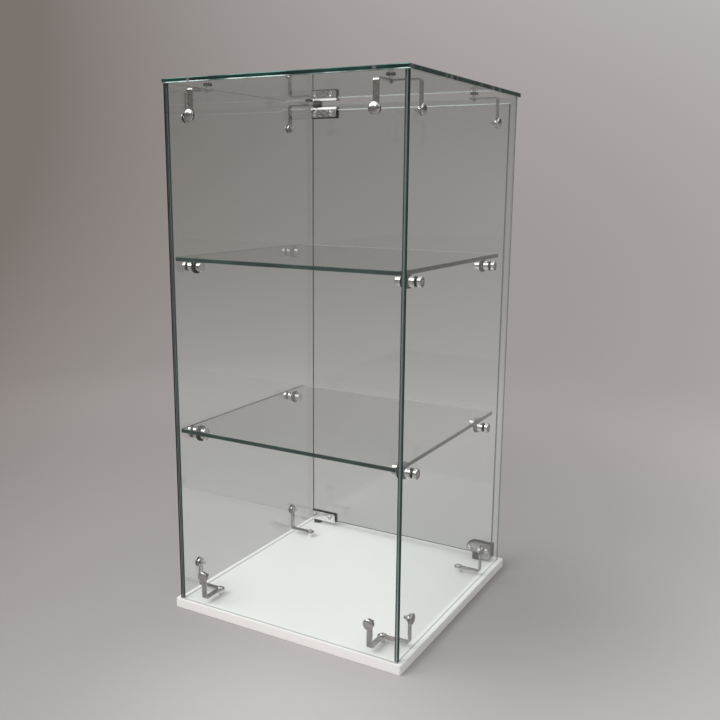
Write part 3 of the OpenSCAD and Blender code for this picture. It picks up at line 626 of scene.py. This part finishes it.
def clamp_plate(shape, low, high, corner_up):
    """One plate with a rounded inner corner, a broad bevel on its outer edge and a soft rim."""
    one = bmesh.new()
    bmesh.ops.create_cube(one, size=1)
    bmesh.ops.scale(one, verts=one.verts, vec=high - low)
    bmesh.ops.translate(one, verts=one.verts, vec=(low + high) / 2)
    inner, outer = (high.z, low.z) if corner_up else (low.z, high.z)
    corner_r, bevel, softening, near = 0.003, 0.0024, 0.0004, 1e-6

    def edges(test):
        return [e for e in one.edges if all(test(v.co) for v in e.verts)]

    bmesh.ops.bevel(one, geom=edges(lambda p: p.x > high.x - near and abs(p.z - inner) < near),
                    offset=corner_r, segments=6, affect="EDGES", profile=0.5, material=-1)
    bmesh.ops.bevel(one, geom=edges(lambda p: p.y < low.y + near and abs(p.z - outer) < near),
                    offset=bevel, segments=1, affect="EDGES", profile=0.5, material=-1)
    sharp = [e for e in one.edges if e.calc_face_angle(0) > 0.6]
    bmesh.ops.bevel(one, geom=sharp, offset=softening, segments=2, affect="EDGES",
                    profile=0.5, material=-1)
    add_to(shape, one, Matrix())


def plate_screws(name, node):
    """The two screws of a clamp or of the lock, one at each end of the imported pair."""
    low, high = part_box(node)
    heads = bmesh.new()
    for screw_x in (low.x + head_r, high.x - head_r):
        seat = Matrix.Translation((screw_x, low.y + head_high, (low.z + high.z) / 2))
        socket_screw(heads, seat @ Matrix.Rotation(math.pi / 2, 4, "X"),
                     high.y - low.y - head_high, screw_d)
    into_object(heads, name, screw_plate, "door", node)


# The clamps' inner plates carry painted light: a painted highlight along each plate's outer edge, and
# the lower plate painted lighter than the upper; the dark and light spots between them are random
# tone.
highlighted_plate = new_finish("highlighted_plate")
height = highlighted_plate.parts(highlighted_plate.place())[2]
outer_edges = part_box("lower_hinge_plate")[0].z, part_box("upper_hinge_plate")[1].z
off_highlight_band = [abs(height - edge).rise(0.0030, 0.0038) for edge in outer_edges]
highlight_band = 1 - off_highlight_band[0] * off_highlight_band[1]
waves = highlighted_plate.noise(0.0035, 3.0)
dark_spot, light_spot = (0.26, 0.25, 0.24, 1), (0.56, 0.56, 0.55, 1)
lower_painted_light, painted_highlight_white = (0.92, 0.92, 0.91, 1), (0.95, 0.95, 0.94, 1)
colour = highlighted_plate.blend(waves.rise(0.35, 0.65), dark_spot, light_spot)
# Painted light: the lower plate is drawn lighter.
colour = highlighted_plate.blend((height < 0.4) * 0.75, colour, lower_painted_light)
highlighted_plate.show(highlighted_plate.shader(
    Base_Color=highlighted_plate.blend(highlight_band, colour, painted_highlight_white), Metallic=1 - highlight_band * 0.75,
    Roughness=0.20 + 0.2 * highlight_band, Normal=highlighted_plate.bump(waves, 0.0003)))
for clamp, corner_up in (("lower", True), ("upper", False)):
    inner_plate = bmesh.new()
    clamp_plate(inner_plate, *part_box(f"{clamp}_hinge_plate"), corner_up)
    into_object(inner_plate, f"{clamp}_inner_plate", highlighted_plate.owner, "door",
                f"{clamp}_hinge_plate")
    plate_screws(f"{clamp}_clamp_screws", f"{clamp}_hinge_screws")
cast_plate = plated("cast_plate", 0.46, 0.20, 0.35)
dress("lower_hinge_body upper_hinge_body", cast_plate)
dress("lower_hinge_pads upper_hinge_pads", rubber.owner)
dress("lower_hinge_pin upper_hinge_pin", turned_plate)
dress("lower_bush upper_bush", nylon.owner)

# ---- Lock
# A small cast lock on the door's lower right corner: a key barrel through the glass turns a
# pin that slides a blackened bolt down into the board.

dress("lock_case lock_body", cast_plate)
dress("lock_pads", rubber.owner)
dress("lock_barrel", plated("barrel_plate", 0.62, 0.12))
black_steel = new_finish("blackened_steel")
rub = black_steel.noise(0.006, 4.0, (6, 6, 1))
colour = black_steel.blend(rub.rise(0.5, 0.9), (0.012, 0.012, 0.013, 1), (0.10, 0.10, 0.10, 1))
dress("lock_bolt", black_steel.show(black_steel.shader(
    Base_Color=colour, Metallic=0.6, Roughness=0.30 + 0.2 * rub)))
plate_screws("lock_case_screws", "lock_screws")
